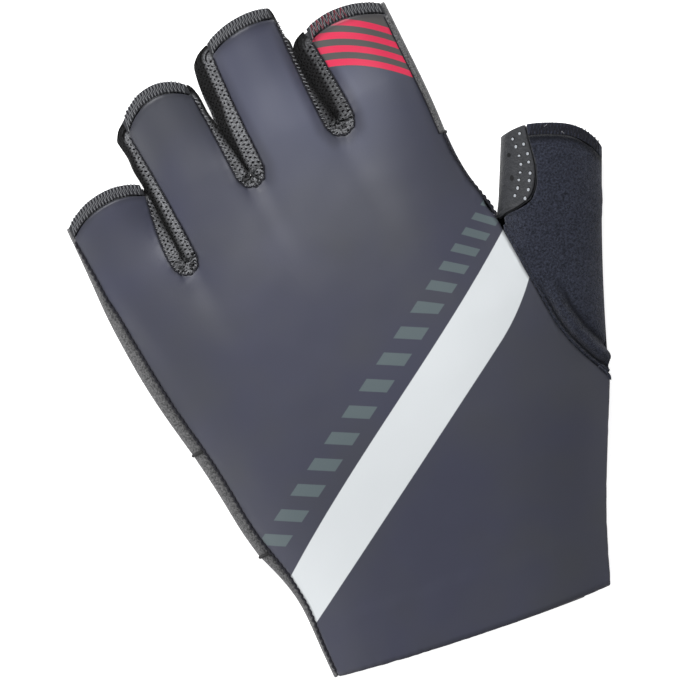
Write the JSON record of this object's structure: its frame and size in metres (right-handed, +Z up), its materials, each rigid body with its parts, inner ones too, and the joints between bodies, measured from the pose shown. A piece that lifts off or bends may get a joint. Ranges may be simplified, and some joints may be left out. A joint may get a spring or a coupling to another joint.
{
  "type": "cycling glove",
  "caption": "Fingerless cycling mitt for the left hand, lying palm down, with open cuff, fingers and thumb, mesh gussets and a printed stretch back.",
  "frame": {"origin": "middle of the footprint, on the surface that the palm rests on", "axes": "+Y from the cuff towards the fingertips, +X towards the thumb, +Z up out of the back of the hand"},
  "size_m": [0.125, 0.1622, 0.018],
  "materials": {
    "stretch_back": "smooth matt stretch fabric with a printed white band, dashes and red stripes",
    "knit_mesh": "grey knit mesh with small holes",
    "heather_strip": "grey heather knit",
    "thumb_fleece": "dark short-pile fleece",
    "finger_hems": "folded hem under coverstitch threads",
    "palm_leather": "charcoal synthetic leather, perforated on the thumb"
  },
  "bodies": {
    "root": {"back_panel": "stretch_back", "fourchette_pinky_ring": "knit_mesh", "fourchette_ring_middle": "knit_mesh", "fourchette_middle_index": "knit_mesh", "side_strip_upper": "heather_strip", "side_strip_middle": "heather_strip", "side_strip_lower": "heather_strip", "index_side_upper": "heather_strip", "index_side_lower": "thumb_fleece", "thumb_back": "thumb_fleece", "thumb_palm": "palm_leather", "finger_hem_pinky": "finger_hems", "finger_hem_ring": "finger_hems", "finger_hem_middle": "finger_hems", "finger_hem_index": "finger_hems", "thumb_hem": "thumb_fleece", "palm_panel": "palm_leather"}
  },
  "joints": []
}
